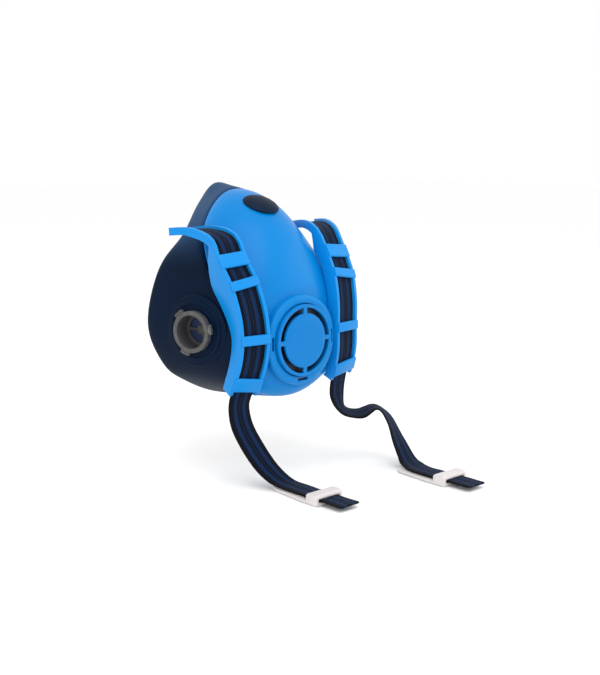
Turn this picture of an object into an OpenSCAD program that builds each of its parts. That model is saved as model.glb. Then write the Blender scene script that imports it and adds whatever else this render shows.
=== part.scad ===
// Half-mask respirator: rubber face piece, hard outer shell, centre exhalation valve,
// two bayonet filter ports at the cheeks and a webbing strap with a buckle on each side.
// Millimetres, +Z up. The mask faces -Y and its wearer's right is at -X.
// The origin is the middle of the opening that seals on the face.

/* [Mask] */
// Width of the face seal, from cheek to cheek
mask_w = 126; // [110:1:152]
// Height of the face seal, from nose to chin
mask_h = 134; // [118:1:161]
// Depth from the middle of the face opening to the flat front of the shell
mask_d = 66.5; // [58:0.5:80]
// Wall of the hard outer shell
shell_wall = 2; // [1.6:0.1:2.4]
// Wall of the rubber face piece
rubber_wall = 2.5; // [2:0.1:3]
// Play between the shell and the rubber behind it
shell_gap = 0.3; // [0.2:0.05:0.5]
// Width of the soft lip that turns in from the rim
lip_w = 14; // [10:0.5:17]
// Thickness of the soft lip
lip_t = 1.4; // [1:0.1:1.8]
// How far the rubber cheek swells beyond a straight wall
cheek_bulge = 2; // [1:0.5:2.5]

/* [Exhalation valve] */
// Radius of the valve cover
cover_r = 22; // [21:0.5:24]
// Thickness of the valve cover's face
cover_t = 1.7; // [1.2:0.1:2]
// Inner radius of the cover's four slots
slot_in_r = 16.5; // [15.5:0.5:17.5]
// Outer radius of the cover's four slots
slot_out_r = 20; // [19:0.25:20.25]
// Width of the spokes between the slots
spoke_w = 2.7; // [2:0.1:4]
// Radius of the hole through the valve seat
seat_hole_r = 14; // [12:0.5:14.5]
// Height of the ring that stands round the cover on the shell
boss_h = 2.2; // [1.5:0.1:3]
// Forward lift of the exhalation flap
exhale_lift = 1.2; // [0.8:0.1:1.3]

/* [Filter ports] */
// Radius of the connector's bore
bore_r = 10; // [8:0.5:10.5]
// Outer radius of the connector's bayonet ring
ring_r = 12.5; // [12:0.25:13]
// Reach of the bayonet lugs from the axis
lug_r = 14.6; // [14:0.1:15]
// Height of the bayonet ring above its gasket
ring_h = 3.7; // [3:0.1:5]
// Angle of a port from straight ahead
port_turn = 73; // [70:1:76]
// Radius of the moulded step nearest the connector
step_in_r = 18.5; // [17:0.5:20]
// Radius of the outer moulded step
step_out_r = 21.5; // [20.5:0.5:22]
// Inward lift of an inhalation flap
inhale_lift = 1.2; // [0.8:0.1:1.4]

/* [Straps] */
// Width of the webbing
strap_w = 15; // [12:0.5:18]
// Thickness of the webbing
strap_t = 1.3; // [1:0.1:1.6]
// Play round the webbing inside guides and buckles
strap_gap = 0.4; // [0.3:0.05:0.6]
// Width of one side rail of a guide
rail_w = 2.2; // [1.8:0.1:3]
// Thickness of a guide's floor
floor_t = 1.4; // [1.2:0.1:2]
// Thickness of the bars that cross the webbing
bar_t = 2.2; // [1.8:0.1:3]
// Length of a buckle's paddle
paddle_l = 42; // [36:1:46]
// Thickness of a buckle's paddle
paddle_t = 1.8; // [1.5:0.1:2.4]

/* [Hidden] */
$fn = 64;
eps = 0.01;

// The outlines are drawn for a mask of this size and are stretched to the sizes above.
drawn = [126, 66.5, 134];
function fitted(p) = [p.x * mask_w / drawn.x, p.y * mask_d / drawn.y, p.z * mask_h / drawn.z];

// Half of each outline, from the top of the nose down to the chin.
rim_half = [[0, 11, 69], [20, 5.5, 56], [38, -2, 38], [54, 2, 18], [63, 3, -16],
    [57, -4, -41], [45, -8, -52], [24, -11, -62], [0, -14, -65]];
edge_half = [[0, -7.5, 65], [18, -10, 59], [35, -17, 40], [45.5, -38, 14], [46, -55, -14],
    [45, -56, -34], [38, -51, -49], [20, -52, -58], [0, -54, -61]];
spoke_steps = 4;

// Middle of the valve, and the flat front of the shell.
valve = fitted([0, -66.5, -24.4]);
flat_r = 24;
// The shell steps back round the valve's boss, over this width and depth.
foot_w = 3.2;
foot_drop = 3.5;
nose_power = 1.8;
side_power = 1.35;

// Valve parts, each placed from the one behind it.
rubber_front = valve.y + shell_wall + shell_gap;
neck_r = 16.7;
rubber_hole_r = neck_r + 0.3;
// The sections start inside the holes that are cut through them.
rubber_start_r = 15;
shell_start_r = 21;
seat_t = 2;
seat_front = rubber_front - seat_t;
seat_lip = 0.7;
flap_t = 0.6;
flap_pin_r = 1.5;
flap_gap = 0.3;
flap_back = seat_front - seat_lip - flap_gap;
cover_back = flap_back - flap_t - exhale_lift - flap_gap;
cover_wall = 1.4;
cover_gap = 0.4;
clip_t = 1.6;
boss_r = cover_r + 5.5;
window_w = 8;
window_h = 1.8;
window_r = cover_r + 2;

// Filter port: heights are measured along its axis from port_base.
port_base = fitted([50.5, -32, -17]);
port_in = 0.6;
port_out = 4.8;
gasket_t = 0.5;
neck_wall = 1;
neck_gap = 0.3;
ring_base = port_out + gasket_t;
nut_t = 2.1;
grille_t = 1.2;
grille_top = port_in - nut_t;
grille_base = grille_top - grille_t;
port_flap_r = bore_r - 0.8;
port_flap_top = grille_base - flap_gap;
port_stud_r = 1.2;
stud_head_t = 0.8;

// Strap guides: the middle of the webbing on the wearer's left side.
guide_w = strap_w + 2 * strap_gap + 2 * rail_w;
guide_path = [for (p = [[51, -15, 41], [46.5, -31, 42], [42, -45, 37.5], [42, -53, 25],
    [40.5, -61, 12], [38.5, -66, -5], [37.5, -67, -20], [38.5, -66, -34], [40, -62, -46.5],
    [40.6, -59, -53]]) fitted(p)];
guide_across = [0.99, 0.139, 0];
guide_steps = 3;
// Place along the guide (in path points) and length of each crossing bar.
bars = [[3, 9], [4, 6], [6, 6], [8, 9]];

// Loose ends of the webbing: middle of the webbing, and the way its width points.
// The last three points lie in line, and the buckle sits on the middle one of them.
right_tail = [[-40.9, -56.8, -62], [-38.5, -57.2, -74], [-32.5, -60.5, -88],
    [-26, -66, -100.5], [-22, -75, -107.4], [-20.3, -87, -108.9], [-20, -108, -109],
    [-20, -129, -109]];
right_across = [for (i = [0 : 7]) [-1, 0.05, 0]];
left_tail = [[41.2, -56.9, -66], [45.5, -59, -77], [54.5, -64.5, -80], [63, -71, -76],
    [67.5, -78, -82.5], [68.5, -86, -96], [67.5, -94.5, -106], [64.5, -103, -108.7],
    [62, -113, -109], [62, -134, -109], [62, -155, -109]];
left_across = [[0.98, 0.2, 0], [0.8, 0.6, 0.1], [0.5, 0.85, 0.15], [0.6, 0.8, 0],
    [0.8, 0.55, 0], [0.95, 0.3, 0], [1, 0.1, 0], [1, 0, 0], [1, 0, 0], [1, 0, 0], [1, 0, 0]];
tail_gap = 1.2;
tail_steps = 4;
buckle_w = strap_w + 6;

// Catmull-Rom curve between b and c.
function curve_at(a, b, c, d, t) = 0.5 * (2 * b + (c - a) * t
    + (2 * a - 5 * b + 4 * c - d) * t * t + (3 * b - a - 3 * c + d) * t * t * t);
function loop_curve(pts, steps) = let (n = len(pts))
    [for (i = [0 : n - 1], j = [0 : steps - 1])
        curve_at(pts[(i + n - 1) % n], pts[i], pts[(i + 1) % n], pts[(i + 2) % n], j / steps)];
function open_curve(pts, steps) = let (n = len(pts), first = 2 * pts[0] - pts[1],
        last = 2 * pts[n - 1] - pts[n - 2])
    concat([for (i = [0 : n - 2], j = [0 : steps - 1])
        curve_at(i == 0 ? first : pts[i - 1], pts[i], pts[i + 1],
            i == n - 2 ? last : pts[i + 2], j / steps)], [pts[n - 1]]);
function both_sides(half) = let (n = len(half))
    concat(half, [for (i = [n - 2 : -1 : 1]) [-half[i].x, half[i].y, half[i].z]]);
function unit(v) = v / norm(v);

rim = loop_curve([for (p = both_sides(rim_half)) fitted(p)], spoke_steps);
edge = loop_curve([for (p = both_sides(edge_half)) fitted(p)], spoke_steps);
spokes = len(edge);

// Outward direction of a spoke round the valve, and how round the front is along it.
function outward(i) = unit([edge[i].x, 0, edge[i].z - valve.z]);
function power_at(i) = side_power + (nose_power - side_power) * pow(outward(i).z, 2);
function bow(t, p) = 1 - pow(1 - pow(t, p), 1 / p);
function smooth(u) = u * u * (3 - 2 * u);
// Point k on the front: first down the step round the boss, then out to the shell's edge.
foot_steps = [0, 0.35, 0.7, 1];
front_steps = [0.14, 0.3, 0.46, 0.62, 0.74, 0.84, 0.91, 0.96, 0.99, 1];
front_last = len(foot_steps) + len(front_steps) - 1;
function front_at(i, k, inset) = let (reach = norm([edge[i].x, edge[i].z - valve.z]) - inset,
        start = flat_r + foot_w, on_foot = k < len(foot_steps),
        u = foot_steps[min(k, len(foot_steps) - 1)],
        t = front_steps[max(0, k - len(foot_steps))],
        r = on_foot ? flat_r + foot_w * u : start + (reach - start) * t,
        y0 = valve.y + inset + foot_drop,
        y = on_foot ? y0 - foot_drop + foot_drop * smooth(u)
            : y0 + (edge[i].y - y0) * bow(t, power_at(i)))
    [outward(i).x * r, y, valve.z + outward(i).z * r];
// Swelling of the cheek, most at the height of the port and gone this far above and below.
swell_reach = 42;
function swell(s, z) = cheek_bulge * sin(180 * s)
    * pow(cos(min(90, 90 * abs(z - port_base.z) / swell_reach)), 2);
function wall_at(i, s, inset) = let (a = edge[i] + outward(i) * (shell_gap - inset)
        + [0, shell_gap, 0], b = rim[i] - outward(i) * inset, p = a + (b - a) * s)
    p + outward(i) * swell(s, p.z);
wall_steps = [0, 0.2, 0.4, 0.6, 0.8, 1];

// One closed cross-section of the face piece along spoke i.
function rubber_section(i) = let (o = outward(i), out = shell_wall + shell_gap,
        inn = out + rubber_wall, r = rim[i])
    concat([[o.x * rubber_start_r, rubber_front, valve.z + o.z * rubber_start_r]],
        [for (k = [0 : front_last]) front_at(i, k, out)],
        [edge[i] - o * out + [0, shell_gap, 0]],
        [for (s = wall_steps) wall_at(i, s, 0)],
        [r + [0, 1.4, 0] - o * 0.5, r + [0, 2.2, 0] - o * 1.8, r + [0, 2, 0] - o * 4,
         r + [0, 0.2, 0] - o * lip_w * 0.6, r + [0, -3, 0] - o * lip_w,
         r + [0, -3 - lip_t, 0] - o * (lip_w - 0.6),
         r + [0, -0.4 - lip_t, 0] - o * lip_w * 0.6, r + [0, -0.8, 0] - o * (rubber_wall + 1.6)],
        [for (k = [4 : -1 : 1]) wall_at(i, wall_steps[k], rubber_wall)],
        [for (k = [front_last : -1 : 0]) front_at(i, k, inn)],
        [[o.x * rubber_start_r, rubber_front + rubber_wall, valve.z + o.z * rubber_start_r]]);

// One closed cross-section of the hard shell along spoke i.
function shell_section(i) = let (o = outward(i))
    concat([[o.x * shell_start_r, valve.y, valve.z + o.z * shell_start_r]],
        [for (k = [0 : front_last]) front_at(i, k, 0)],
        [for (k = [front_last : -1 : 0]) front_at(i, k, shell_wall)],
        [[o.x * shell_start_r, valve.y + shell_wall, valve.z + o.z * shell_start_r]]);

// Faces between two neighbouring rings a and b of n points each.
function band(a, b, n) = [for (j = [0 : n - 1], half = [0, 1]) let (k = (j + 1) % n)
    half == 0 ? [a + j, a + k, b + k] : [a + j, b + k, b + j]];

// Ring-shaped solid through closed sections.
module wrapped(sections) {
    m = len(sections[0]);
    n = len(sections);
    polyhedron([for (s = sections, p = s) p],
        [for (i = [0 : n - 1], f = band(i * m, ((i + 1) % n) * m, m)) f]);
}

// Front of the mask at any x (0 or more) and z: the boss, the shell, then the level of its edge.
half_spokes = [for (i = [0 : spokes / 2]) i];
function angle_at(p) = atan2(p.z - valve.z, p.x);
edge_reach = [for (i = half_spokes) [-angle_at(edge[i]), norm([edge[i].x, edge[i].z - valve.z])]];
edge_depth = [for (i = half_spokes) [-angle_at(edge[i]), edge[i].y]];
function skin_y(x, z) = let (key = -atan2(z - valve.z, x), r = norm([x, z - valve.z]),
        reach = lookup(key, edge_reach), y = lookup(key, edge_depth),
        start = flat_r + foot_w, y0 = valve.y + foot_drop,
        power = side_power + (nose_power - side_power) * pow(sin(key), 2))
    r < boss_r ? valve.y - boss_h
    : r < reach ? y0 + (y - y0) * bow(max(0, (r - start) / (reach - start)), power)
    : y - 0.5;

// Turned profile round the valve's axis: x is the radius, y grows towards the wearer.
module valve_turned() {
    translate([0, 0, valve.z]) rotate([-90, 0, 0]) rotate_extrude() children();
}
module valve_disc(r, front, back) {
    translate([0, front, valve.z]) rotate([-90, 0, 0]) cylinder(r = r, h = back - front);
}

// Frame of a filter port: its axis becomes +Z, with port_base at the origin.
module at_port() {
    translate(port_base) rotate([0, 90, port_turn - 90]) children();
}
module port_disc(r, low, high) {
    translate([0, 0, low]) cylinder(r = r, h = high - low);
}
module port_ring(r_in, r_out, low, high) {
    difference() {
        port_disc(r_out, low, high);
        port_disc(r_in, low - 1, high + 1);
    }
}
module port_pad() {
    rotate_extrude() polygon([[bore_r, port_in - 1.5], [step_out_r - 2, port_in - 1.5],
        [step_out_r, port_in + 1], [step_out_r, port_out - 1.7], [step_out_r - 0.6, port_out - 1.2],
        [step_in_r + 0.4, port_out - 1], [step_in_r, port_out - 0.5],
        [step_in_r - 0.5, port_out], [bore_r, port_out]]);
}
module port_cuts() {
    port_disc(bore_r + neck_wall + neck_gap, port_in - 12, port_out + 8);
    port_disc(bore_r + 7, port_in - 12, port_in);
    port_disc(step_in_r - 1, port_out, port_out + 8);
}

module face_piece() {
    color("#1d2f4f") difference() {
        union() {
            wrapped([for (i = [0 : spokes - 1]) rubber_section(i)]);
            at_port() port_pad();
            mirror([1, 0, 0]) at_port() port_pad();
        }
        valve_disc(rubber_hole_r, rubber_front - 4, rubber_front + rubber_wall + 4);
        at_port() port_cuts();
        mirror([1, 0, 0]) at_port() port_cuts();
    }
}

module latch_places(r) {
    for (turn = [0, 90, 180])
        translate([0, valve.y, valve.z]) rotate([0, turn, 0]) translate([r, 0, 0]) children();
}

module outer_shell() {
    color("#0082d7") difference() {
        union() {
            wrapped([for (i = [0 : spokes - 1]) shell_section(i)]);
            valve_turned() polygon([[shell_start_r, valve.y + 1], [flat_r + 0.6, valve.y + 1],
                [flat_r + foot_w, valve.y + foot_drop + 1], [boss_r, valve.y + foot_drop + 0.6],
                [boss_r, valve.y - 0.5], [boss_r - 0.8, valve.y - boss_h * 0.7],
                [boss_r - 2.2, valve.y - boss_h], [shell_start_r, valve.y - boss_h]]);
        }
        valve_disc(cover_r + cover_gap, valve.y - 8, valve.y + 8);
        latch_places(window_r) translate([0, -2, 0])
            cube([window_h, 5.4, window_w], center = true);
    }
}

// Oval plug on the front of the nose, domed, with its back shaped to the shell.
stud_z = 56 * mask_h / drawn.z;
stud_size = [12, 5.4];
stud_h = 4;
stud_rings = [0.25, 0.5, 0.75, 0.92, 1];
stud_turns = 32;
module nose_stud() {
    back = shell_gap / 2;
    back_y = skin_y(0, stud_z) - back;
    points = [for (front = [1, 0], r = stud_rings, k = [0 : stud_turns - 1])
        let (a = 360 * k / stud_turns, x = stud_size.x * r * cos(a),
            z = stud_z + stud_size.y * r * sin(a),
            h = front == 1 ? 0.9 + (stud_h - 0.9) * sqrt(1 - r * r) : 0)
        [x, skin_y(abs(x), z) - back - h, z]];
    n = len(stud_rings);
    m = stud_turns;
    mid = len(points);
    color("#12244a") polyhedron(
        concat(points, [[0, back_y - stud_h, stud_z], [0, back_y, stud_z]]),
        concat([for (g = [0 : n - 2], k = [0 : m - 1], half = [0, 1])
                let (a = g * m + k, b = g * m + (k + 1) % m)
                half == 0 ? [a, b, b + m] : [a, b + m, a + m]],
            [for (g = [0 : n - 2], k = [0 : m - 1], half = [0, 1])
                let (a = (n + g) * m + k, b = (n + g) * m + (k + 1) % m)
                half == 0 ? [a, b + m, b] : [a, a + m, b + m]],
            [for (k = [0 : m - 1], half = [0, 1])
                let (a = (n - 1) * m + k, b = (n - 1) * m + (k + 1) % m)
                half == 0 ? [a, b, b + n * m] : [a, b + n * m, a + n * m]],
            [for (k = [0 : m - 1]) [mid, (k + 1) % m, k]],
            [for (k = [0 : m - 1]) [mid + 1, n * m + k, n * m + (k + 1) % m]]));
}

module exhale_seat() {
    hub_r = 3;
    color("#d9d9d6") difference() {
        union() {
            valve_disc(cover_r - 0.8, seat_front, rubber_front);
            valve_disc(seat_hole_r + 1, seat_front - seat_lip, seat_front + 1);
            valve_disc(neck_r, seat_front + 1, rubber_front + rubber_wall + clip_t);
        }
        valve_disc(seat_hole_r, seat_front - 3, rubber_front + 12);
    }
    color("#d9d9d6") {
        valve_disc(hub_r, seat_front, seat_front + 2);
        valve_disc(flap_pin_r, cover_back + 0.4, seat_front + 1);
        for (turn = [30, 150, 270])
            translate([0, seat_front, valve.z]) rotate([0, turn, 0])
                translate([0, 0, -0.9]) cube([seat_hole_r + 0.5, 2, 1.8]);
    }
}

module seat_ring() {
    color("#3c4046") difference() {
        valve_disc(neck_r + 3, rubber_front + rubber_wall, rubber_front + rubber_wall + clip_t);
        valve_disc(neck_r + 0.05, rubber_front, rubber_front + rubber_wall + 4);
    }
}

module exhale_flap() {
    color("#20242b") difference() {
        valve_disc(seat_hole_r + 1.6, flap_back - flap_t, flap_back);
        valve_disc(flap_pin_r + 0.4, flap_back - 3, flap_back + 3);
    }
}

module exhale_cover() {
    face = cover_back - cover_t;
    color("#0a78cc") difference() {
        union() {
            valve_disc(cover_r, face + 0.5, seat_front - flap_gap);
            valve_turned() polygon([[0, face + 0.6], [0, face - 0.1], [slot_in_r - 1, face],
                [slot_out_r + 0.2, face + 0.1], [cover_r - 0.9, face - 0.2],
                [cover_r - 0.2, face], [cover_r, face + 0.6]]);
        }
        valve_disc(cover_r - cover_wall, cover_back, seat_front + 3);
        difference() {
            valve_disc(slot_out_r, face - 2, cover_back + 1);
            valve_disc(slot_in_r, face - 3, cover_back + 2);
            translate([0, face, valve.z]) cube([2 * cover_r, 8, spoke_w], center = true);
            translate([0, face, valve.z]) cube([spoke_w, 8, 2 * cover_r], center = true);
        }
    }
}

module cover_latches() {
    color("#5a2a26") latch_places(window_r) translate([0, 0.1, 0])
        cube([window_h - 0.6, 1, window_w - 0.6], center = true);
}

module connector() {
    difference() {
        union() {
            port_disc(ring_r, ring_base, ring_base + ring_h);
            port_disc(bore_r + neck_wall, grille_base, ring_base + 1);
            intersection() {
                port_disc(lug_r, ring_base + 1.4, ring_base + ring_h - 0.3);
                for (turn = [20, 140, 260])
                    rotate([0, 0, turn]) translate([0, -3, 0]) cube([20, 6, 20]);
            }
        }
        port_disc(bore_r, grille_top, ring_base + ring_h + 1);
        difference() {
            port_disc(bore_r - 1.8, grille_base - 1, grille_top + 1);
            port_disc(2.6, grille_base - 2, grille_top + 2);
            for (turn = [90, 210, 330])
                rotate([0, 0, turn]) translate([0, -0.9, grille_base - 2]) cube([bore_r, 1.8, 6]);
        }
    }
    port_disc(port_stud_r, port_flap_top - flap_t - inhale_lift - flap_gap, grille_base + 0.5);
    port_disc(2.2, port_flap_top - flap_t - inhale_lift - flap_gap - stud_head_t,
        port_flap_top - flap_t - inhale_lift - flap_gap);
}
module gasket() {
    port_ring(bore_r + neck_wall + 0.05, ring_r - 0.1, port_out, port_out + gasket_t);
}
module nut() {
    difference() {
        port_disc(bore_r + 6, port_in - nut_t, port_in);
        port_disc(bore_r + neck_wall + 0.05, port_in - nut_t - 1, port_in + 1);
        for (turn = [0 : 60 : 300])
            rotate([0, 0, turn]) translate([bore_r + 6.4, 0, port_in - nut_t - 1])
                cylinder(r = 1.6, h = nut_t + 2, $fn = 24);
    }
}
module inhale_flap() {
    port_ring(port_stud_r + 0.4, port_flap_r, port_flap_top - flap_t, port_flap_top);
}

module right_connector() { color("#46484c") mirror([1, 0, 0]) at_port() connector(); }
module left_connector() { color("#46484c") at_port() connector(); }
module right_port_gasket() { color("#15171a") mirror([1, 0, 0]) at_port() gasket(); }
module left_port_gasket() { color("#15171a") at_port() gasket(); }
module right_connector_nut() { color("#46484c") mirror([1, 0, 0]) at_port() nut(); }
module left_connector_nut() { color("#46484c") at_port() nut(); }
module right_inhale_flap() { color("#2c4a78") mirror([1, 0, 0]) at_port() inhale_flap(); }
module left_inhale_flap() { color("#2c4a78") at_port() inhale_flap(); }

// Ribbon along points, with the way its width points given at each of them.
function ways(pts) = let (n = len(pts))
    [for (i = [0 : n - 1]) unit(pts[min(i + 1, n - 1)] - pts[max(i - 1, 0)])];
function squared(across, way) = unit(across - way * (across * way));
module ribbon(pts, across) {
    n = len(pts);
    way = ways(pts);
    wide = [for (i = [0 : n - 1]) squared(across[i], way[i]) * strap_w / 2];
    thick = [for (i = [0 : n - 1]) unit(cross(way[i], wide[i])) * strap_t / 2];
    points = [for (i = [0 : n - 1]) each [pts[i] + wide[i] + thick[i],
        pts[i] - wide[i] + thick[i], pts[i] - wide[i] - thick[i], pts[i] + wide[i] - thick[i]]];
    polyhedron(points, concat([[0, 1, 2], [0, 2, 3]],
        [for (i = [0 : n - 2], f = band(i * 4, i * 4 + 4, 4)) [f[0], f[2], f[1]]],
        [[4 * n - 4, 4 * n - 2, 4 * n - 3], [4 * n - 4, 4 * n - 1, 4 * n - 2]]));
}

guide_line = open_curve(guide_path, guide_steps);
guide_way = ways(guide_line);
guide_x = [for (w = guide_way) squared(guide_across, w)];
guide_y = [for (i = [0 : len(guide_line) - 1]) cross(guide_way[i], guide_x[i])];
// Length of a leg from p along -way until it stands just clear of the mask, at most most.
function leg_length(p, way, low, high, tries) = let (mid = (low + high) / 2, q = p - way * mid)
    tries == 0 ? low
    : q.y > skin_y(max(0, q.x), q.z) - shell_gap ? leg_length(p, way, low, mid, tries - 1)
    : leg_length(p, way, mid, high, tries - 1);
// Legs are short on the rear arch and reach the shell further down.
function leg_limit(i) = min(20, max(0.5, (i / guide_steps - 2) * 9));
function guide_section(i) = let (p = guide_line[i], x = guide_x[i], y = guide_y[i],
        under = strap_t / 2 + strap_gap, w = guide_w / 2, v = w - rail_w,
        top = under + bar_t / 2, floor_y = -under - floor_t,
        legs = [for (across = [w, v, -v, -w]) let (foot = p + x * across + y * floor_y)
            foot - y * leg_length(foot, y, 0, leg_limit(i), 14)])
    [p + x * w + y * top, p + x * v + y * top, p + x * v - y * under, p - x * v - y * under,
     p - x * v + y * top, p - x * w + y * top, legs[3], legs[2],
     p - x * v + y * floor_y, p + x * v + y * floor_y, legs[1], legs[0]];
// Frame at point i of the guide: +X across, +Y towards the bars, +Z along the webbing.
module at_guide(i) {
    x = guide_x[i];
    y = guide_y[i];
    z = guide_way[i];
    p = guide_line[i];
    multmatrix([[x.x, y.x, z.x, p.x], [x.y, y.y, z.y, p.y], [x.z, y.z, z.z, p.z], [0, 0, 0, 1]])
        children();
}
module crossing_bar(length) {
    rotate([0, 90, 0]) translate([0, 0, 0.3 - guide_w / 2]) linear_extrude(guide_w - 0.6)
        hull() for (end = [-1, 1]) translate([end * (length - bar_t) / 2, 0])
            circle(d = bar_t, $fn = 24);
}
module strap_guide() {
    n = len(guide_line);
    sections = [for (i = [0 : n - 1]) guide_section(i)];
    cap = [[0, 1, 2], [0, 2, 9], [0, 9, 10], [0, 10, 11], [2, 3, 9], [3, 8, 9],
        [3, 4, 5], [3, 5, 8], [5, 7, 8], [5, 6, 7]];
    end = (n - 1) * 12;
    polyhedron([for (s = sections, p = s) p],
        concat([for (c = cap) [c[0], c[1], c[2]]],
            [for (i = [0 : n - 2], f = band(i * 12, i * 12 + 12, 12)) [f[0], f[2], f[1]]],
            [for (c = cap) [end + c[0], end + c[2], end + c[1]]]));
    for (b = bars) at_guide(b[0] * guide_steps)
        translate([0, strap_t / 2 + strap_gap + bar_t / 2, 0]) crossing_bar(b[1]);
}
module right_strap_guide() { color("#0a84dc") mirror([1, 0, 0]) strap_guide(); }
module left_strap_guide() { color("#0a84dc") strap_guide(); }

strap_across = [for (p = guide_line) guide_across];
module right_strap() { color("#15191f") mirror([1, 0, 0]) ribbon(guide_line, strap_across); }
module left_strap() { color("#15191f") ribbon(guide_line, strap_across); }

// A loose end starts just below the guide that it comes out of.
tail_way = unit(guide_line[len(guide_line) - 1] - guide_line[len(guide_line) - 2]);
function tail_start(side) = let (p = guide_line[len(guide_line) - 1] + tail_way * tail_gap)
    [side * p.x, p.y, p.z];
module tail(side, pts, across) {
    ribbon(open_curve(concat([tail_start(side)], pts), tail_steps),
        open_curve(concat([[side * guide_across.x, guide_across.y, 0]], across), tail_steps));
}
module right_strap_tail() { color("#15191f") tail(-1, right_tail, right_across); }
module left_strap_tail() { color("#15191f") tail(1, left_tail, left_across); }

// Buckle: +X runs along the webbing to its free end, +Z is the side of the cross bar.
module buckle() {
    low = -strap_t / 2 - strap_gap;
    high = strap_t / 2 + strap_gap;
    bar_l = 9;
    post_w = 2;
    translate([0, 0, low - paddle_t]) linear_extrude(paddle_t) hull() {
        translate([-paddle_l + buckle_w / 2, 0]) circle(d = buckle_w - 4);
        translate([bar_l / 2 - 2, 0]) square([4, buckle_w], center = true);
        translate([-bar_l, 0]) square([4, buckle_w], center = true);
    }
    for (side = [-1, 1])
        translate([-bar_l / 2, side * (buckle_w - post_w) / 2 - post_w / 2, low - eps])
            cube([bar_l, post_w, high - low + 2 * eps]);
    translate([0, 0, high]) rotate([90, 0, 0]) translate([0, 0, -buckle_w / 2])
        linear_extrude(buckle_w) polygon([[-bar_l / 2, 0], [bar_l / 2, 0], [bar_l / 2, 1.2],
            [bar_l / 2 - 1.2, 2.4], [-bar_l / 2 + 1.2, 2.4], [-bar_l / 2, 1.2]]);
}
// Puts a buckle at a point of the webbing, with its bar on the upper side.
module on_strap(p, way) {
    x = unit(way);
    y = unit(cross([0, 0, 1], x));
    z = cross(x, y);
    multmatrix([[x.x, y.x, z.x, p.x], [x.y, y.y, z.y, p.y], [x.z, y.z, z.z, p.z], [0, 0, 0, 1]])
        children();
}
module on_tail(pts) {
    n = len(pts);
    on_strap(pts[n - 2], pts[n - 1] - pts[n - 2]) children();
}
module right_buckle() { color("#e9e6e4") on_tail(right_tail) buckle(); }
module left_buckle() { color("#e9e6e4") on_tail(left_tail) buckle(); }

face_piece();
outer_shell();
nose_stud();
exhale_seat();
seat_ring();
exhale_flap();
exhale_cover();
cover_latches();
right_connector();
left_connector();
right_port_gasket();
left_port_gasket();
right_connector_nut();
left_connector_nut();
right_inhale_flap();
left_inhale_flap();
right_strap_guide();
left_strap_guide();
right_strap();
left_strap();
right_strap_tail();
left_strap_tail();
right_buckle();
left_buckle();
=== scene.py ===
import math

import bpy
from mathutils import Matrix, Vector


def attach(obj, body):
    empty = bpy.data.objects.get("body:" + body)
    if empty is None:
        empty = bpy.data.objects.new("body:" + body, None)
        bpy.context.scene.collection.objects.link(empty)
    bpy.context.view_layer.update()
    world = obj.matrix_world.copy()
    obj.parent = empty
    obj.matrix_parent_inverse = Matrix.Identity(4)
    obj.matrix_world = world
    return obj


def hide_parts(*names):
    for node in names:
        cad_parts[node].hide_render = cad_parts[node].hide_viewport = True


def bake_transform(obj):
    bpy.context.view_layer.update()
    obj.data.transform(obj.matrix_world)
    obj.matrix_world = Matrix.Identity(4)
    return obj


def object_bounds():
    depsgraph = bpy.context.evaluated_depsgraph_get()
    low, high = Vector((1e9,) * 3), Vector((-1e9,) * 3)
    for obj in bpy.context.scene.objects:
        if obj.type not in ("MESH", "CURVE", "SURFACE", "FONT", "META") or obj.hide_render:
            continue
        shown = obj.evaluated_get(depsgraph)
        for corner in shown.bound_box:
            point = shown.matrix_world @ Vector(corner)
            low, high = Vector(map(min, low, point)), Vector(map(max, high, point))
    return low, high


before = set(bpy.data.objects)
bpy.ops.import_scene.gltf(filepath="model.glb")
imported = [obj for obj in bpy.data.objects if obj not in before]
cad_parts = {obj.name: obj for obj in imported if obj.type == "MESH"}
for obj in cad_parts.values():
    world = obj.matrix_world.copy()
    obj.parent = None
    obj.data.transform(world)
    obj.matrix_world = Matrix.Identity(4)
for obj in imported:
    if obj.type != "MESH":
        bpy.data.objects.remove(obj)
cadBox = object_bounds()
mm = 0.001
print("frame loaded:", len(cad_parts), "nodes")


# camera and light

cameraSet = {
    "aim": (-4.6, -71.0, -22.0),  # mm, just left of the exhalation valve
    "azimuth": -43.0,
    "elevation": 10.0,
    "distance": 650.0,
    "lens": 57.8,
    "clipStart": 10.0,
}


def addCamera():
    az, el = math.radians(cameraSet["azimuth"]), math.radians(cameraSet["elevation"])
    aim = Vector(cameraSet["aim"]) * mm
    away = Vector((math.sin(az) * math.cos(el), -math.cos(az) * math.cos(el), math.sin(el)))
    bpy.ops.object.camera_add(location=aim + away * cameraSet["distance"] * mm)
    camera = bpy.context.object
    camera.rotation_euler = away.to_track_quat("Z", "Y").to_euler()
    camera.data.lens = cameraSet["lens"]
    camera.data.clip_start = cameraSet["clipStart"] * mm
    bpy.context.scene.camera = camera
    return camera


lightSet = {
    # name: place (mm), size (mm), power (W)
    "softboxTop": ((-250, -450, 650), 700, 3.2),
    "softboxSide": ((650, -500, 250), 500, 0.8),
    "fillLeft": ((-650, -250, 120), 500, 0.3),
    "rimBack": ((-100, 550, 380), 450, 0.6),
}
floorSet = {"drop": 0.4, "size": 9000.0}  # mm below the lowest strap end


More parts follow.
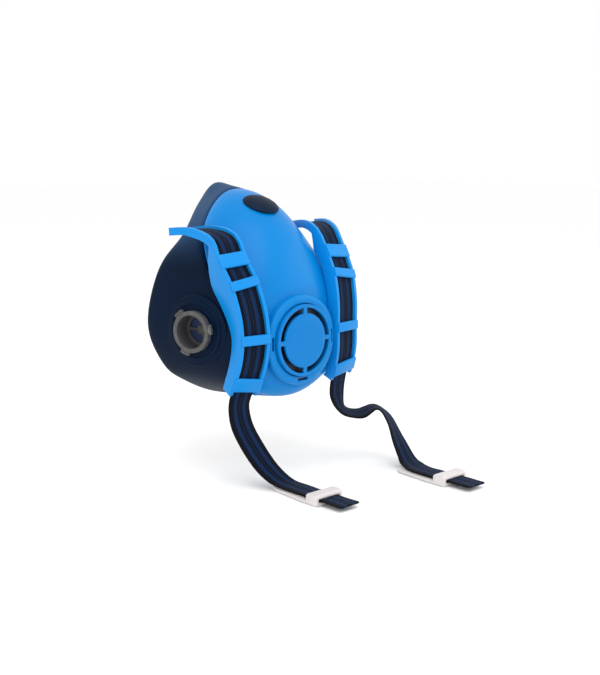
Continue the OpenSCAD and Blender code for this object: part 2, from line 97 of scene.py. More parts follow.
def addLights():
    for name, (place, size, power) in lightSet.items():
        bpy.ops.object.light_add(type="AREA", location=Vector(place) * mm)
        lamp = bpy.context.object
        lamp.name = name
        lamp.data.size = size * mm
        lamp.data.energy = power
        lamp.rotation_euler = (Vector(place) * mm).to_track_quat("Z", "Y").to_euler()
    world = bpy.data.worlds.new("studio")
    world.use_nodes = True
    world.node_tree.nodes["Background"].inputs["Color"].default_value = (1, 1, 1, 1)
    world.node_tree.nodes["Background"].inputs["Strength"].default_value = 1.0
    bpy.context.scene.world = world
    bpy.context.scene.view_settings.view_transform = "Standard"


def addFloor():
    bpy.ops.mesh.primitive_plane_add(size=floorSet["size"] * mm,
                                     location=(0, 0, cadBox[0][2] - floorSet["drop"] * mm))
    floor = bpy.context.object
    floor.name = "studioFloor"
    paint = bpy.data.materials.new("palePaper")
    paint.use_nodes = True
    shader = paint.node_tree.nodes["Principled BSDF"]
    shader.inputs["Base Color"].default_value = (0.99, 0.99, 0.99, 1)
    shader.inputs["Roughness"].default_value = 0.9
    floor.data.materials.append(paint)


# shader groups

def newGroup(name, inputs, outputs):
    group = bpy.data.node_groups.new(name, "ShaderNodeTree")
    for label, kind, value in inputs:
        socket = group.interface.new_socket(label, in_out="INPUT", socket_type="NodeSocket" + kind)
        if value is not None:
            socket.default_value = value
    for label, kind in outputs:
        group.interface.new_socket(label, in_out="OUTPUT", socket_type="NodeSocket" + kind)
    return group, group.nodes.new("NodeGroupInput"), group.nodes.new("NodeGroupOutput")


def addNode(tree, kind, settings=None, links=None, **values):
    node = tree.nodes.new("ShaderNode" + kind)
    for key, value in (settings or {}).items():
        setattr(node, key, value)
    for key, value in values.items():
        label = key.replace("_", " ")
        node.inputs[label].default_value = value
    for key, source in (links or {}).items():
        tree.links.new(source, node.inputs[key])
    return node


def maths(tree, operation, a, b=None):
    node = tree.nodes.new("ShaderNodeMath")
    node.operation = operation
    for slot, value in enumerate([a, b]):
        if value is None:
            continue
        if hasattr(value, "links"):
            tree.links.new(value, node.inputs[slot])
        else:
            node.inputs[slot].default_value = value
    return node.outputs[0]


def makeMouldGrain():
    # fine spark-eroded texture and slow waves of a moulding
    group, take, give = newGroup("mouldGrain", [
        ("Vector", "Vector", None), ("Grain", "Float", 2200.0), ("Waves", "Float", 60.0),
        ("Wave share", "Float", 0.5)], [("Height", "Float"), ("Mask", "Float")])
    fine = addNode(group, "TexNoise", links={"Vector": take.outputs["Vector"],
                                             "Scale": take.outputs["Grain"]}, Detail=3.0)
    slow = addNode(group, "TexNoise", links={"Vector": take.outputs["Vector"],
                                             "Scale": take.outputs["Waves"]}, Detail=1.0)
    waves = maths(group, "MULTIPLY", slow.outputs["Fac"], take.outputs["Wave share"])
    group.links.new(maths(group, "ADD", fine.outputs["Fac"], waves), give.inputs["Height"])
    group.links.new(slow.outputs["Fac"], give.inputs["Mask"])
    return group


def makeHandling():
    # faint smears and dust left by handling
    group, take, give = newGroup("handling", [
        ("Vector", "Vector", None), ("Scale", "Float", 45.0), ("Base roughness", "Float", 0.3),
        ("Spread", "Float", 0.12)], [("Roughness", "Float"), ("Smear", "Float")])
    cloud = addNode(group, "TexNoise", links={"Vector": take.outputs["Vector"],
                                              "Scale": take.outputs["Scale"]},
                    Detail=6.0, Roughness=0.65, Distortion=0.6)
    centred = maths(group, "SUBTRACT", cloud.outputs["Fac"], 0.5)
    spread = maths(group, "MULTIPLY", centred, take.outputs["Spread"])
    group.links.new(maths(group, "ADD", spread, take.outputs["Base roughness"]),
                    give.inputs["Roughness"])
    ramp = addNode(group, "MapRange", links={"Value": cloud.outputs["Fac"]},
                   From_Min=0.5, From_Max=0.8)
    group.links.new(ramp.outputs["Result"], give.inputs["Smear"])
    return group


def makeEdgeWear():
    # lighter, rubbed rims where the surface turns sharply
    group, take, give = newGroup("edgeWear", [
        ("Vector", "Vector", None), ("Amount", "Float", 0.5), ("Width", "Float", 0.06)],
        [("Wear", "Float")])
    turn = group.nodes.new("ShaderNodeNewGeometry")
    low = maths(group, "SUBTRACT", turn.outputs["Pointiness"], 0.5)
    width = maths(group, "DIVIDE", low, take.outputs["Width"])
    broken = addNode(group, "TexNoise", links={"Vector": take.outputs["Vector"]},
                     Scale=300.0, Detail=4.0)
    rubbed = maths(group, "MULTIPLY", width, broken.outputs["Fac"])
    strength = maths(group, "MULTIPLY", rubbed, take.outputs["Amount"])
    clamp = addNode(group, "Clamp", links={"Value": strength})
    group.links.new(clamp.outputs["Result"], give.inputs["Wear"])
    return group


mouldGrain, handling, edgeWear = makeMouldGrain(), makeHandling(), makeEdgeWear()


# finishes

def tint(red, green, blue):
    # 0-255 screen colour as linear light
    def linear(value):
        value /= 255
        return value / 12.92 if value <= 0.04045 else ((value + 0.055) / 1.055) ** 2.4
    return (linear(red), linear(green), linear(blue), 1)


def mixColour(tree, share, a, b):
    node = tree.nodes.new("ShaderNodeMix")
    node.data_type = "RGBA"
    for socket, value in ((node.inputs[0], share), (node.inputs[6], a), (node.inputs[7], b)):
        if hasattr(value, "links"):
            tree.links.new(value, socket)
        else:
            socket.default_value = value
    return node.outputs[2]


def placeGroup(tree, group, vector=None, **values):
    node = tree.nodes.new("ShaderNodeGroup")
    node.node_tree = group
    if vector is not None:
        tree.links.new(vector, node.inputs["Vector"])
    for key, value in values.items():
        node.inputs[key.replace("_", " ")].default_value = value
    return node


def makeMoulded(name, colour, dark, light, roughness, spread, grain, bump, wear=0.0, coat=0.0,
                waves=60.0, waveShare=0.5, handlingScale=45.0, shine=0.5):
    # moulded plastic or rubber: colour drift, smears, grain and rubbed edges
    paint = bpy.data.materials.new(name)
    paint.use_nodes = True
    tree = paint.node_tree
    shader = tree.nodes["Principled BSDF"]
    where = tree.nodes.new("ShaderNodeTexCoord").outputs["Object"]
    texture = placeGroup(tree, mouldGrain, where, Grain=grain, Waves=waves, Wave_share=waveShare)
    smear = placeGroup(tree, handling, where, Base_roughness=roughness, Spread=spread,
                       Scale=handlingScale)
    rubbed = placeGroup(tree, edgeWear, where, Amount=wear)
    drift = mixColour(tree, texture.outputs["Mask"], dark, colour)
    worn = mixColour(tree, rubbed.outputs["Wear"], drift, light)
    tree.links.new(worn, shader.inputs["Base Color"])
    tree.links.new(smear.outputs["Roughness"], shader.inputs["Roughness"])
    height = addNode(tree, "Bump", links={"Height": texture.outputs["Height"]},
                     Strength=bump, Distance=0.0002)
    tree.links.new(height.outputs["Normal"], shader.inputs["Normal"])
    shader.inputs["Coat Weight"].default_value = coat
    shader.inputs["Coat Roughness"].default_value = 0.12
    shader.inputs["Specular IOR Level"].default_value = shine
    return paint


finishes = {
    "shellBlue": makeMoulded("shellBlue", tint(0, 127, 200), tint(0, 116, 188), tint(60, 156, 225),
                             0.36, 0.10, 2600, 0.05, coat=0.04, waves=26.0, shine=0.14),
    "guideBlue": makeMoulded("guideBlue", tint(10, 136, 212), tint(2, 126, 202), tint(90, 172, 235),
                             0.36, 0.12, 2600, 0.05, coat=0.04, waves=22.0, shine=0.18),
    "coverBlue": makeMoulded("coverBlue", tint(0, 120, 194), tint(0, 112, 184), tint(70, 160, 225),
                             0.40, 0.10, 2400, 0.08, coat=0.03, waves=30.0, shine=0.14),
    "navyStud": makeMoulded("navyStud", tint(5, 26, 50), tint(3, 18, 38), tint(34, 60, 92),
                            0.5, 0.15, 2800, 0.25, wear=0.3, shine=0.1),
    "ringGrey": makeMoulded("ringGrey", tint(64, 64, 66), tint(46, 46, 49), tint(116, 114, 110),
                            0.46, 0.16, 2600, 0.25, wear=0.8, shine=0.4),
    "nutGrey": makeMoulded("nutGrey", tint(52, 54, 58), tint(40, 42, 46), tint(92, 92, 92),
                           0.5, 0.14, 2200, 0.3, wear=0.6, shine=0.4),
    "seatWhite": makeMoulded("seatWhite", tint(214, 214, 208), tint(200, 200, 194),
                             tint(235, 235, 232), 0.45, 0.12, 2600, 0.2, wear=0.3),
    "flapBlack": makeMoulded("flapBlack", tint(13, 15, 21), tint(9, 11, 15), tint(44, 46, 52),
                             0.55, 0.1, 3200, 0.2, wear=0.2, shine=0.2),
    "flapBlue": makeMoulded("flapBlue", tint(24, 44, 82), tint(16, 34, 66), tint(66, 86, 124),
                            0.45, 0.1, 3200, 0.2, wear=0.2, shine=0.3),
    "latchRust": makeMoulded("latchRust", tint(74, 30, 38), tint(52, 20, 28), tint(110, 66, 66),
                             0.5, 0.1, 2600, 0.2, wear=0.3, shine=0.3),
    "sealBlack": makeMoulded("sealBlack", tint(12, 12, 16), tint(7, 7, 10), tint(40, 40, 46),
                             0.6, 0.1, 3000, 0.25, wear=0.2, shine=0.2),
    "buckleWhite": makeMoulded("buckleWhite", tint(214, 208, 206), tint(200, 193, 191),
                               tint(232, 229, 227), 0.38, 0.12, 2400, 0.12, wear=0.2, coat=0.08,
                               waves=40.0),
}



def blendAlong(paint, axis, start, end, low=None, high=None, ease="LINEAR"):
    # colour changes from low to high between two places (m); None keeps the paint's own
    tree = paint.node_tree
    shader = tree.nodes["Principled BSDF"]
    where = [n for n in tree.nodes if n.type == "TEX_COORD"][0].outputs["Object"]
    split = addNode(tree, "SeparateXYZ", links={"Vector": where})
    share = addNode(tree, "MapRange", {"interpolation_type": ease}, {"Value": split.outputs[axis]},
                    From_Min=start, From_Max=end)
    own = shader.inputs["Base Color"].links[0].from_socket
    colour = mixColour(tree, share.outputs["Result"], own if low is None else low,
                       own if high is None else high)
    tree.links.new(colour, shader.inputs["Base Color"])


# painted shade: the seat's front, where it faces the cover, is painted dark for the shade behind the
# cover's slots; pale behind
blendAlong(finishes["seatWhite"], "Y", -0.0640, -0.0625, low=tint(20, 26, 42))
print("finishes ready:", len(finishes))

nodeFinish = {
    "outer_shell": "shellBlue", "face_piece": "sealBlack", "nose_stud": "navyStud",
    "exhale_seat": "seatWhite", "seat_ring": "nutGrey", "exhale_flap": "flapBlack",
    "exhale_cover": "coverBlue", "cover_latches": "latchRust",
}
for side in ("right", "left"):
    nodeFinish.update({
        side + "_connector": "ringGrey", side + "_port_gasket": "sealBlack",
        side + "_connector_nut": "nutGrey", side + "_inhale_flap": "flapBlue",
        side + "_strap_guide": "guideBlue", side + "_strap": "sealBlack",
        side + "_strap_tail": "sealBlack", side + "_buckle": "buckleWhite",
    })


def paintNodes():
    for name, finish in nodeFinish.items():
        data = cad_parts[name].data
        data.materials.clear()
        data.materials.append(finishes[finish])


# outlines shared by the rubber and the shell

maskShape = {  # mm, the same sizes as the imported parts
    "valve": (0.0, -66.5, -24.4),
    "flat": 24.0,        # radius of the flat round the valve
    "footWidth": 3.2,    # step down beside the boss
    "footDrop": 3.5,
    "nosePower": 1.8,
    "sidePower": 1.35,
    "shellWall": 2.0,
    "shellGap": 0.3,
    "rubberWall": 2.5,
    "lipWidth": 14.0,
    "lipThick": 1.4,
    "cheekSwell": 2.0,
    "cheekHeight": 42.0,  # from the port's middle to where the swelling ends
    "rubberHole": 17.0,   # radius behind the valve
}
# half outlines on the wearer's left, top to bottom (mm): rim of the seal, edge of the shell
rimHalf = [(0, 11, 69), (20, 5.5, 56), (38, -2, 38), (54, 2, 18), (63, 3, -16),
           (57, -4, -41), (45, -8, -52), (24, -11, -62), (0, -14, -65)]
edgeHalf = [(0, -7.5, 65), (18, -10, 59), (35, -17, 40), (45.5, -38, 14), (46, -55, -14),
            (45, -56, -34), (38, -51, -49), (20, -52, -58), (0, -54, -61)]
spokeSteps = 4  # points between two outline points
portSet = {  # mm, turn in degrees
    "base": (50.5, -32.0, -17.0), "turn": 73.0, "inside": 0.6, "outside": 4.8,
    "bore": 10.0, "neck": 11.3, "innerStep": 18.5, "outerStep": 21.5,
    "cutRadius": 15.5, "cutDepth": 40.0,
}


def curveAt(a, b, c, d, t):
    # Catmull-Rom between b and c
    return 0.5 * (2 * b + (c - a) * t + (2 * a - 5 * b + 4 * c - d) * t * t
                  + (3 * b - a - 3 * c + d) * t * t * t)


def loopThrough(half):
    points = [Vector(p) for p in half]
    points += [Vector((-p.x, p.y, p.z)) for p in reversed(points[1:-1])]
    count = len(points)
    return [curveAt(points[i - 1], points[i], points[(i + 1) % count], points[(i + 2) % count],
                    j / spokeSteps) for i in range(count) for j in range(spokeSteps)]


def lineThrough(points, steps):
    points = [Vector(p) for p in points]
    ends = [2 * points[0] - points[1]] + points + [2 * points[-1] - points[-2]]
    line = [curveAt(*ends[i:i + 4], j / steps) for i in range(len(points) - 1)
            for j in range(steps)]
    return line + [points[-1]]


rimLoop, edgeLoop = loopThrough(rimHalf), loopThrough(edgeHalf)
valveAt = Vector(maskShape["valve"])
footSteps = [0, 0.35, 0.7, 1]
frontSteps = [0.14, 0.3, 0.46, 0.62, 0.74, 0.84, 0.91, 0.96, 0.99, 1]
wallSteps = [0, 0.2, 0.4, 0.6, 0.8, 1]


def outwardAt(i):
    return Vector((edgeLoop[i].x, 0, edgeLoop[i].z - valveAt.z)).normalized()


def bow(t, power):
    return 1 - (1 - min(1, t) ** power) ** (1 / power)


def frontAt(i, k, inset):
    # point k of spoke i: down the step beside the boss, then out to the shell's edge
    edge, way = edgeLoop[i], outwardAt(i)
    power = maskShape["sidePower"] + (maskShape["nosePower"] - maskShape["sidePower"]) * way.z ** 2
    reach = math.hypot(edge.x, edge.z - valveAt.z) - inset
    base = valveAt.y + inset + maskShape["footDrop"]
    if k < len(footSteps):
        u = footSteps[k]
        r = maskShape["flat"] + maskShape["footWidth"] * u
        y = base - maskShape["footDrop"] * (1 - u * u * (3 - 2 * u))
    else:
        t = frontSteps[k - len(footSteps)]
        start = maskShape["flat"] + maskShape["footWidth"]
        r = start + (reach - start) * t
        y = base + (edge.y - base) * bow(t, power)
    return Vector((way.x * r, y, valveAt.z + way.z * r))


def wallAt(i, s, inset):
    # rubber wall behind the shell's edge, swollen over the cheek
    way = outwardAt(i)
    a = edgeLoop[i] + way * (maskShape["shellGap"] - inset) + Vector((0, maskShape["shellGap"], 0))
    p = a.lerp(rimLoop[i] - way * inset, s)
    near = min(90, 90 * abs(p.z - portSet["base"][2]) / maskShape["cheekHeight"])
    swell = math.sin(math.pi * s) * math.cos(math.radians(near)) ** 2
    return p + way * maskShape["cheekSwell"] * swell


# making pieces

turnSteps = 128  # sides of a turned ring


def deselectAll():
    if bpy.context.object and bpy.context.object.mode != "OBJECT":
        bpy.ops.object.mode_set(mode="OBJECT")
    bpy.ops.object.select_all(action="DESELECT")


def pickOnly(piece):
    deselectAll()
    piece.select_set(True)
    bpy.context.view_layer.objects.active = piece


def addMesh(name, points, faces, edges=()):
    mesh = bpy.data.meshes.new(name)
    mesh.from_pydata([Vector(p) * mm for p in points], list(edges), faces)
    piece = bpy.data.objects.new(name, mesh)
    bpy.context.collection.objects.link(piece)
    return piece


def turnOut(piece, merge=True):
    # merge doubles and point every face outwards
    pickOnly(piece)
    bpy.ops.object.mode_set(mode="EDIT")
    bpy.ops.mesh.select_all(action="SELECT")
    if merge:
        bpy.ops.mesh.remove_doubles(threshold=0.00002)
    bpy.ops.mesh.normals_make_consistent(inside=False)
    bpy.ops.object.mode_set(mode="OBJECT")


def applyModifier(piece, kind, **settings):
    pickOnly(piece)
    modifier = piece.modifiers.new(kind.lower(), kind)
    for key, value in settings.items():
        setattr(modifier, key, value)
    bpy.ops.object.modifier_apply(modifier=modifier.name)


def finishPiece(piece, finish, body, smooth=None):
    piece.data.materials.clear()
    piece.data.materials.append(finishes[finish] if isinstance(finish, str) else finish)
    pickOnly(piece)
    if smooth is None:
        bpy.ops.object.shade_smooth()
    else:
        bpy.ops.object.shade_smooth_by_angle(angle=math.radians(smooth))
    if body:
        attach(piece, body)


def ringOfSections(name, sections):
    size, count = len(sections[0]), len(sections)
    faces = []
    for i in range(count):
        a, b = i * size, (i + 1) % count * size
        faces += [(a + j, a + (j + 1) % size, b + (j + 1) % size, b + j) for j in range(size)]
    return addMesh(name, [p for section in sections for p in section], faces)


def turnedPiece(name, profile, steps, place):
    # profile of (radius, height) in mm, turned about Z, then placed
    points = [(r, 0, h) for r, h in profile]
    edges = [(i, (i + 1) % len(points)) for i in range(len(points))]
    piece = addMesh(name, points, [], edges)
    applyModifier(piece, "SCREW", angle=math.tau, steps=steps, render_steps=steps,
                  use_merge_vertices=True, merge_threshold=0.00001)
    piece.data.transform(place)
    turnOut(piece)
    return piece


def cutWith(piece, cutter, operation="DIFFERENCE"):
    applyModifier(piece, "BOOLEAN", object=cutter, operation=operation, solver="EXACT")
    bpy.data.objects.remove(cutter)


def mergedCopy(node, name, melt=2.0):
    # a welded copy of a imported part, its flat faces joined again
    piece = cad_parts[node].copy()
    piece.data = piece.data.copy()
    piece.name = name
    piece.parent = None
    bpy.context.collection.objects.link(piece)
    pickOnly(piece)
    bpy.ops.object.mode_set(mode="EDIT")
    bpy.ops.mesh.select_all(action="SELECT")
    bpy.ops.mesh.remove_doubles(threshold=0.000005)
    bpy.ops.mesh.dissolve_limited(angle_limit=math.radians(melt))
    bpy.ops.object.mode_set(mode="OBJECT")
    return piece


def softenedNode(node, name, finish, body, bevel=0.3, segments=2, corner=35, smooth=40,
                 melt=1.0):
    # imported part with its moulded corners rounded
    piece = mergedCopy(node, name, melt)
    applyModifier(piece, "BEVEL", width=bevel * mm, segments=segments, limit_method="ANGLE",
                  angle_limit=math.radians(corner), harden_normals=False, use_clamp_overlap=True)
    finishPiece(piece, finish, body, smooth)
    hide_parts(node)
    return piece


def portPlace(side):
    # matrix that takes a port's own axes (Z outwards) to the mask
    base = Matrix.Translation(Vector(portSet["base"]) * mm)
    turn = Matrix.Rotation(math.radians(portSet["turn"] - 90), 4, "Z") @ Matrix.Rotation(
        math.radians(90), 4, "Y")
    return Matrix.Diagonal((side, 1, 1, 1)) @ base @ turn


valvePlace = Matrix.Translation(Vector((0, 0, valveAt.z)) * mm) @ Matrix.Rotation(
    math.radians(-90), 4, "X")


# rubber face piece

def makeFaceRubber():
    # navy rubber, with a painted highlight: lighter slate towards the top, where the thin seal
    # catches the light
    paint = makeMoulded("faceRubber", tint(1, 23, 48), tint(0, 16, 38), tint(22, 42, 80),
                        0.46, 0.14, 2600, 0.16, waves=22.0, shine=0.07)
    # painted highlight: the colour blends to a lighter slate towards the top
    blendAlong(paint, "Z", 0.018, 0.045, high=tint(26, 62, 98), ease="SMOOTHSTEP")
    return paint


def makeFacePiece():
    shape = maskShape
    outer = shape["shellWall"] + shape["shellGap"]
    inner = outer + shape["rubberWall"]
    lip, thick, wall = shape["lipWidth"], shape["lipThick"], shape["rubberWall"]
    radius = shape["rubberHole"]
    last = len(footSteps) + len(frontSteps) - 1
    sections = []
    for i in range(len(edgeLoop)):
        way, rim, up = outwardAt(i), rimLoop[i], Vector((0, 1, 0))
        hole = Vector((way.x * radius, 0, valveAt.z + way.z * radius))
        section = [hole + up * (valveAt.y + outer)]
        section += [frontAt(i, k, outer) for k in range(last + 1)]
        section += [edgeLoop[i] - way * outer + up * shape["shellGap"]]
        section += [wallAt(i, s, 0) for s in wallSteps]
        # round the rim, then in along the turned-in lip and back
        section += [rim + up * 1.4 - way * 0.5, rim + up * 2.2 - way * 1.8,
                    rim + up * 2.0 - way * 4, rim + up * 0.2 - way * lip * 0.6,
                    rim - up * 3 - way * lip, rim - up * (3 + thick) - way * (lip - 0.6),
                    rim - up * (0.4 + thick) - way * lip * 0.6, rim - up * 0.8 - way * (wall + 1.6)]
        section += [wallAt(i, s, wall) for s in reversed(wallSteps[1:-1])]
        section += [frontAt(i, k, inner) for k in range(last, -1, -1)]
        section += [hole + up * (valveAt.y + inner)]
        sections.append(section)
    piece = ringOfSections("facePiece", sections)
    turnOut(piece)
    applyModifier(piece, "SUBSURF", levels=1, render_levels=1)
    for side in (-1, 1):
        pickOnly(piece)
        bpy.ops.mesh.primitive_cylinder_add(vertices=96, radius=portSet["cutRadius"] * mm,
                                            depth=portSet["cutDepth"] * mm)
        cutter = bpy.context.object
        cutter.data.transform(portPlace(side))
        turnOut(cutter)
        cutWith(piece, cutter)
    finishPiece(piece, makeFaceRubber(), "mask", smooth=50)
    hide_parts("face_piece")
    return piece


def makePortPad(side, name, paint):
    # moulded rings that step down from the connector to the cheek
    inside, outside, step, rim = (portSet[k] for k in ("inside", "outside", "innerStep", "outerStep"))
    neck = portSet["neck"]
    profile = [(neck, inside), (17.0, inside), (17.4, inside - 1.4), (rim - 1.6, inside - 1.4),
               (rim, inside + 1), (rim, outside - 1.9), (rim - 0.25, outside - 1.55),
               (rim - 0.8, outside - 1.4), (step + 0.9, outside - 1.25), (step + 0.35, outside - 1.1),
               (step + 0.05, outside - 0.75), (step - 0.15, outside - 0.25), (step - 0.6, outside),
               (16.0, outside), (15.6, outside - 0.35), (14.9, outside - 0.35),
               (14.5, outside), (neck + 0.3, outside), (neck, outside - 0.3)]
    pad = turnedPiece(name, profile, turnSteps, portPlace(side))
    finishPiece(pad, paint, "mask", smooth=32)
    return pad


facePiece = makeFacePiece()
for side, word in ((-1, "right"), (1, "left")):
    makePortPad(side, word + "PortPad", facePiece.data.materials[0])
print("rubber face piece done")


# hard shell

shellSet = {  # mm
    "holeRadius": 22.9, "bossHeight": 2.2, "bossRadius": 27.5, "bore": 22.4,
    "windowRadius": 24.0, "windowSize": (1.8, 5.4, 8.0),
}


def makeShell():
    # each section runs out over the front, round the edge and back inside
    last = len(footSteps) + len(frontSteps) - 1
    wall, radius = maskShape["shellWall"], shellSet["holeRadius"]
    sections = []
    for i in range(len(edgeLoop)):
        way, edge, up = outwardAt(i), edgeLoop[i], Vector((0, 1, 0))
        hole = Vector((way.x * radius, 0, valveAt.z + way.z * radius))
        section = [hole + up * valveAt.y]
        section += [frontAt(i, k, 0) for k in range(last)]
        section += [edge - up * 0.5, edge - way * 0.35, edge - way * (wall - 0.35),
                    edge - way * wall - up * 0.5]
        section += [frontAt(i, k, wall) for k in range(last - 1, -1, -1)]
        section += [hole + up * (valveAt.y + wall)]
        sections.append(section)
    piece = ringOfSections("outerShell", sections)
    turnOut(piece)
    applyModifier(piece, "SUBSURF", levels=2, render_levels=2)
    finishPiece(piece, "shellBlue", "mask", smooth=60)
    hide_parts("outer_shell")
    return piece


def makeValveBoss():
    # raised ring round the cover, with a window for each latch
    front, bore, rim = shellSet["bossHeight"], shellSet["bore"], shellSet["bossRadius"]
    y = valveAt.y
    profile = [(bore, y + 1), (24.6, y + 1), (27.2, y + 4.5), (rim, y + 4.1), (rim, y - 0.6),
               (rim - 0.25, y - 1.2), (rim - 0.8, y - 1.7), (rim - 1.6, y - front + 0.15),
               (rim - 2.3, y - front), (23.0, y - front), (bore + 0.12, y - front + 0.12),
               (bore, y - front + 0.5)]
    boss = turnedPiece("valveBoss", profile, turnSteps, valvePlace)
    for turn in (0, 90, 180):
        deselectAll()
        bpy.ops.mesh.primitive_cube_add(size=1)
        cutter = bpy.context.object
        depth, tall, wide = shellSet["windowSize"]
        place = (Matrix.Translation(Vector((0, y - 2, valveAt.z)) * mm)
                 @ Matrix.Rotation(math.radians(turn), 4, "Y")
                 @ Matrix.Translation(Vector((shellSet["windowRadius"], 0, 0)) * mm)
                 @ Matrix.Diagonal((depth * mm, tall * mm, wide * mm, 1)))
        cutter.data.transform(place)
        cutWith(boss, cutter)
    finishPiece(boss, "shellBlue", "mask", smooth=35)
    return boss


makeShell()
makeValveBoss()
print("shell done")


# hard fittings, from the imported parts

fittingSet = {
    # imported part: finish, slot, body, corner radius (mm), corner angle (degrees)
    "nose_stud": ("navyStud", "stud_navy", "mask", 0.5, 50),
    "exhale_cover": ("coverBlue", "cover_blue", "exhale_cover", 0.25, 50),
    "cover_latches": ("latchRust", "latch_dark", "mask", 0.15, 35),
}
for side in ("right", "left"):
    fittingSet.update({
        side + "_strap_guide": ("guideBlue", "guide_blue", "mask", 0.45, 40),
        side + "_connector": ("ringGrey", "fitting_grey", "mask", 0.3, 45),
        side + "_connector_nut": ("nutGrey", "fitting_grey", "mask", 0.3, 45),
        side + "_buckle": ("buckleWhite", "buckle_white", side + "_buckle", 0.4, 35),
    })
for node, (finish, slot, body, radius, corner) in fittingSet.items():
    words = node.split("_")
    softenedNode(node, words[0] + "".join(word.title() for word in words[1:]), finish, body,
                 bevel=radius, segments=3 if radius > 0.35 else 2, corner=corner)
print("fittings done")


# webbing

webSet = {
    "width": 15.0, "thick": 1.3,          # mm
    "across": 10, "steps": 8,             # faces across, and along between two route points
    "edgeFrom": 0.8, "edgeRound": 0.35,   # shares of the half width and half thickness
    "rippleFrom": 70, "ripple": 0.18, "ripplePitch": 0.31,  # step, mm, radians per mm
    "hingePoint": 9, "blendAbove": 3, "blendBelow": 9,      # route point, mm, mm
    "rows": 17.0, "ribs": 13.0,           # weave in one width
}
# middle of the webbing through the left guide, rear arch to lower end (mm)
guidePath = [(51, -15, 41), (46.5, -31, 42), (42, -45, 37.5), (42, -53, 25), (40.5, -61, 12),
             (38.5, -66, -5), (37.5, -67, -20), (38.5, -66, -34), (40, -62, -46.5), (40.6, -59, -53)]
guideAcross = (0.99, 0.139, 0)
# each loose end: its route, and its width direction at every route point
tailRoutes = {
    "right": ([(-40.9, -56.8, -62), (-38.5, -57.2, -74), (-32.5, -60.5, -88), (-26, -66, -100.5),
               (-22, -75, -107.4), (-20.3, -87, -108.9), (-20, -108, -109), (-20, -129, -109)],
              [(-1, 0.05, 0)] * 8),
    "left": ([(41.2, -56.9, -66), (45.5, -59, -77), (54.5, -64.5, -80), (63, -71, -76),
              (67.5, -78, -82.5), (68.5, -86, -96), (67.5, -94.5, -106), (64.5, -103, -108.7),
              (62, -113, -109), (62, -134, -109), (62, -155, -109)],
             [(0.98, 0.2, 0), (0.8, 0.6, 0.1), (0.5, 0.85, 0.15), (0.6, 0.8, 0), (0.8, 0.55, 0),
              (0.95, 0.3, 0), (1, 0.1, 0), (1, 0, 0), (1, 0, 0), (1, 0, 0), (1, 0, 0)]),
}


def makeWeave():
    # ribs along the webbing, crossed by fine rows; u runs across, v along in webbing widths
    group, take, give = newGroup("elasticWeave", [
        ("UV", "Vector", None), ("Rows", "Float", 17.0), ("Ribs", "Float", 13.0)],
        [("Height", "Float"), ("Thread", "Float")])
    split = addNode(group, "SeparateXYZ", links={"Vector": take.outputs["UV"]})
    row = maths(group, "MULTIPLY", split.outputs["Y"], take.outputs["Rows"])
    rib = maths(group, "MULTIPLY", split.outputs["X"], take.outputs["Ribs"])
    column = maths(group, "MULTIPLY", maths(group, "FLOOR", rib), 0.5)  # every other rib is offset
    rowWave = maths(group, "ABSOLUTE", maths(group, "SINE", maths(
        group, "MULTIPLY", maths(group, "ADD", row, column), math.pi)))
    ribWave = maths(group, "ABSOLUTE", maths(group, "SINE", maths(group, "MULTIPLY", rib, math.pi)))
    height = maths(group, "MULTIPLY", maths(group, "POWER", rowWave, 0.7),
                   maths(group, "POWER", ribWave, 0.5))
    group.links.new(height, give.inputs["Height"])
    fluff = addNode(group, "TexNoise", links={"Vector": take.outputs["UV"]}, Scale=60.0, Detail=4.0)
    group.links.new(fluff.outputs["Fac"], give.inputs["Thread"])
    return group


def makeWebbing():
    # black elastic webbing with two navy stripes
    weave = makeWeave()
    paint = bpy.data.materials.new("stripedWebbing")
    paint.use_nodes = True
    tree = paint.node_tree
    shader = tree.nodes["Principled BSDF"]
    uv = addNode(tree, "UVMap", {"uv_map": "along"}).outputs["UV"]
    cloth = tree.nodes.new("ShaderNodeGroup")
    cloth.node_tree = weave
    cloth.inputs["Rows"].default_value = webSet["rows"]
    cloth.inputs["Ribs"].default_value = webSet["ribs"]
    tree.links.new(uv, cloth.inputs["UV"])
    split = addNode(tree, "SeparateXYZ", links={"Vector": uv})
    stripe = tree.nodes.new("ShaderNodeValToRGB")
    stripe.color_ramp.interpolation = "LINEAR"
    black, navy, pale = tint(8, 11, 19), tint(12, 40, 80), tint(20, 56, 104)
    stops = [(0.0, black), (0.17, black), (0.20, navy), (0.29, pale), (0.38, navy), (0.41, black),
             (0.47, black), (0.49, navy), (0.51, navy), (0.53, black), (0.59, black), (0.62, navy),
             (0.71, pale), (0.80, navy), (0.83, black), (1.0, black)]
    ramp = stripe.color_ramp
    for at, colour in stops[1:-1]:
        ramp.elements.new(at)
    for element, (at, colour) in zip(ramp.elements, stops):
        element.position = at
        element.color = colour
    tree.links.new(split.outputs["X"], stripe.inputs["Fac"])
    # painted shade: the weave's low places between the threads are darkened towards near black
    shaded = mixColour(tree, cloth.outputs["Height"], tint(3, 4, 8), stripe.outputs["Color"])
    worn = mixColour(tree, maths(tree, "MULTIPLY", cloth.outputs["Thread"], 0.12), shaded,
                     tint(40, 50, 72))
    tree.links.new(worn, shader.inputs["Base Color"])
    bump = addNode(tree, "Bump", links={"Height": cloth.outputs["Height"]}, Strength=0.55,
                   Distance=0.0003)
    tree.links.new(bump.outputs["Normal"], shader.inputs["Normal"])
    shader.inputs["Roughness"].default_value = 0.78
    shader.inputs["Specular IOR Level"].default_value = 0.06
    shader.inputs["Sheen Weight"].default_value = 0.04
    return paint


def strapLine(side):
    # middle of the webbing and its width direction, from the rear arch to the free end
    sign = -1 if side == "right" else 1
    flip = Vector((sign, 1, 1))
    guide = [Vector(p) * flip for p in guidePath]
    route, across = tailRoutes[side]
    line = lineThrough(guide + route, webSet["steps"])
    widths = lineThrough([Vector(guideAcross) * flip] * len(guide) + across, webSet["steps"])
    return line, widths


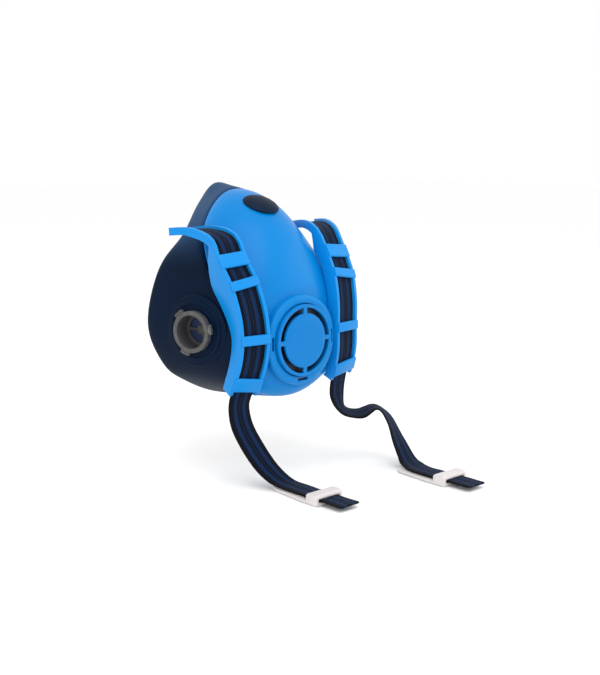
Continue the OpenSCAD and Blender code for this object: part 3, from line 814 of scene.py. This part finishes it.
def makeStrap(side, paint):
    line, widths = strapLine(side)
    across, half, thick = webSet["across"], webSet["width"] / 2, webSet["thick"] / 2
    points, along = [], [0.0]
    for i, p in enumerate(line):
        way = (line[min(i + 1, len(line) - 1)] - line[max(i - 1, 0)]).normalized()
        wide = (widths[i] - way * widths[i].dot(way)).normalized()
        up = way.cross(wide).normalized()
        if i:
            along.append(along[-1] + (p - line[i - 1]).length)
        ripple = 0.0
        if i > webSet["rippleFrom"]:
            ripple = webSet["ripple"] * math.sin(along[-1] * webSet["ripplePitch"])
        for face in (1, -1):
            for k in range(across + 1):
                u = k / across * 2 - 1
                rounded = max(0, abs(u) - webSet["edgeFrom"]) / (1 - webSet["edgeFrom"])
                crown = 1 - webSet["edgeRound"] * rounded
                offset = up * (face * thick * crown + ripple * u * 0.5)
                points.append(p + wide * (half * u) + offset)
    ring = 2 * (across + 1)
    faces, uvs = [], []
    scale = webSet["width"]
    order = list(range(across + 1)) + list(range(ring - 1, across, -1))
    for i in range(len(line) - 1):
        for k in range(ring):
            a, b = order[k], order[(k + 1) % ring]
            faces.append((i * ring + a, i * ring + b, (i + 1) * ring + b, (i + 1) * ring + a))
            ua, ub = (a % (across + 1)) / across, (b % (across + 1)) / across
            uvs += [(ua, along[i] / scale), (ub, along[i] / scale),
                    (ub, along[i + 1] / scale), (ua, along[i + 1] / scale)]
    for i in (0, len(line) - 1):
        for k in range(across):
            a, b = i * ring + k, i * ring + k + 1
            c, d = b + across + 1, a + across + 1
            faces.append((a, b, c, d))
            uvs += [(j / across, along[i] / scale) for j in (k, k + 1, k + 1, k)]
    piece = addMesh(side + "Strap", points, faces)
    layer = piece.data.uv_layers.new(name="along")
    for loop, uv in zip(layer.data, uvs):
        loop.uv = uv
    turnOut(piece, merge=False)
    finishPiece(piece, paint, None, smooth=50)
    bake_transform(piece)
    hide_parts(side + "_strap", side + "_strap_tail")
    print(side, "strap length", round(along[-1], 1), "mm")
    return piece


stripedWebbing = makeWebbing()
for side in ("right", "left"):
    makeStrap(side, stripedWebbing)
print("webbing done")


# scene

addCamera()
addLights()
addFloor()
paintNodes()
print("camera, light and floor ready")
